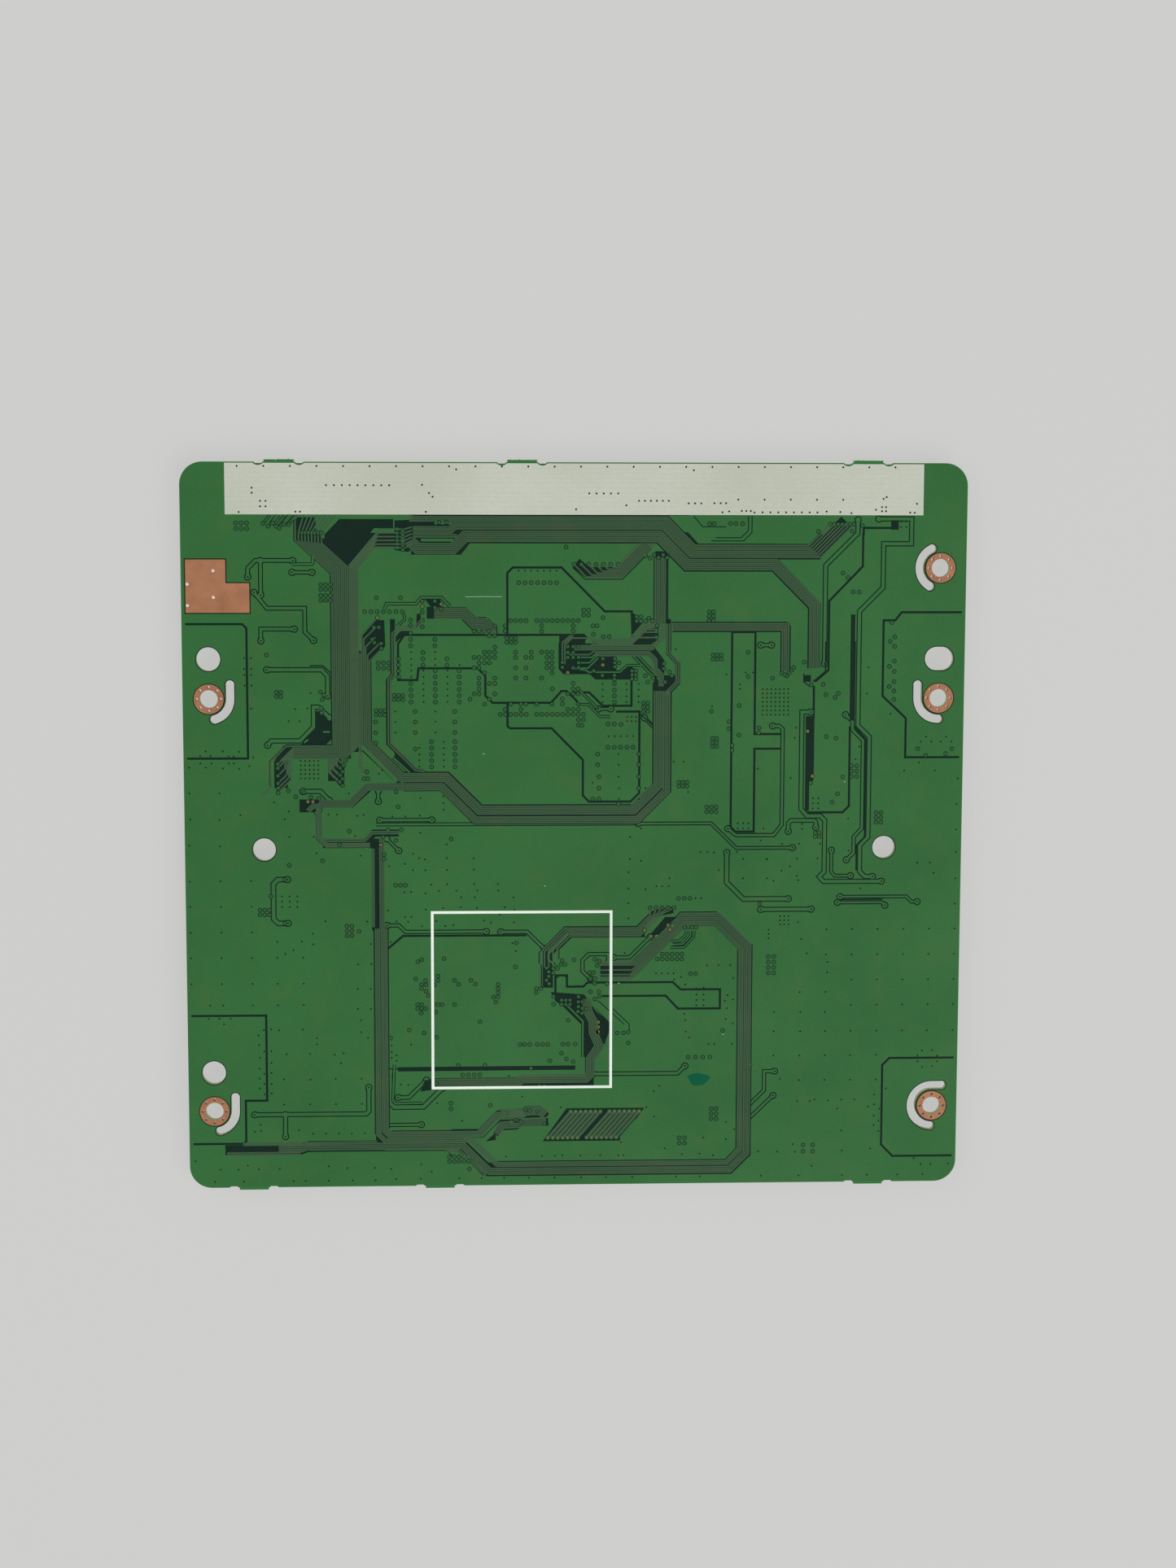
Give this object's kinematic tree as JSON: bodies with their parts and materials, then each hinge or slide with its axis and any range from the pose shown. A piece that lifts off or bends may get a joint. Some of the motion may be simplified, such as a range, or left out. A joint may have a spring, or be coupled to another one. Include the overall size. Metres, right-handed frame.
{
  "type": "t-con board",
  "caption": "Display timing controller circuit board with screw and locating holes, copper lands, white legend and flat-cable receptacles on its underside.",
  "frame": {"origin": "middle of the bounding box in X and Y, on the surface that the inductors rest on", "axes": "+X along the board's longer side, to the right in the picture; +Y towards the edge with the white strip; +Z out of the solder side"},
  "size_m": [0.174, 0.164, 0.0057],
  "materials": {
    "board_laminate": "dark green masked glass laminate",
    "mask_over_copper": "semi-gloss green mask over a copper pour",
    "mask_over_tracks": "semi-gloss green mask over fine tracks",
    "bare_copper": "bare copper with a preservative coat, slightly dulled",
    "white_ink": "matte printed ink",
    "package_black": "matte moulded epoxy",
    "solder_tin": "tin plate and solder",
    "steel_can": "plated sheet",
    "ferrite": "dull ferrite",
    "winding_copper": "enamelled copper wire",
    "ceramic_tan": "fired ceramic",
    "resistor_glaze": "black glaze",
    "fuse_ceramic": "pale ceramic",
    "connector_plastic": "natural heat-proof plastic",
    "contact_gold": "thin gold plate"
  },
  "bodies": {
    "root": {"circuit_board": "board_laminate", "solder_side_copper": "mask_over_copper", "track_buses": "mask_over_tracks", "single_tracks": "mask_over_copper", "screw_lands": "bare_copper", "bare_copper_land": "bare_copper", "component_side_lands": "bare_copper", "legend_strip": "white_ink", "legend_frame": "white_ink", "timing_controller": "package_black", "image_processor": "package_black", "memory_chip_1": "package_black", "memory_chip_2": "package_black", "memory_chip_3": "package_black", "memory_chip_4": "package_black", "timing_controller_balls": "solder_tin", "image_processor_balls": "solder_tin", "memory_balls": "solder_tin", "power_manager": "package_black", "level_shifter": "package_black", "gamma_buffer": "package_black", "left_step_down_converter": "package_black", "right_step_down_converter": "package_black", "flash_memory": "package_black", "settings_memory": "package_black", "package_leads": "solder_tin", "crystal": "steel_can", "inductor_bases": "package_black", "inductor_terminals": "solder_tin", "inductor_shields": "ferrite", "inductor_cores": "ferrite", "inductor_windings": "winding_copper", "rectifier_diodes": "package_black", "switching_transistors": "package_black", "bulk_capacitors": "ceramic_tan", "bulk_capacitor_terminals": "solder_tin", "ceramic_capacitors": "ceramic_tan", "chip_resistors": "resistor_glaze", "ferrite_beads": "ferrite", "input_fuse": "fuse_ceramic", "chip_terminals": "solder_tin", "panel_receptacle_1": "connector_plastic", "panel_receptacle_2": "connector_plastic", "panel_receptacle_3": "connector_plastic", "panel_receptacle_4": "connector_plastic", "panel_contacts_1": "contact_gold", "panel_contacts_2": "contact_gold", "panel_contacts_3": "contact_gold", "panel_contacts_4": "contact_gold", "signal_receptacle": "connector_plastic", "signal_shell": "steel_can", "signal_contacts": "contact_gold", "receptacle_hold_downs": "solder_tin"}
  },
  "joints": []
}
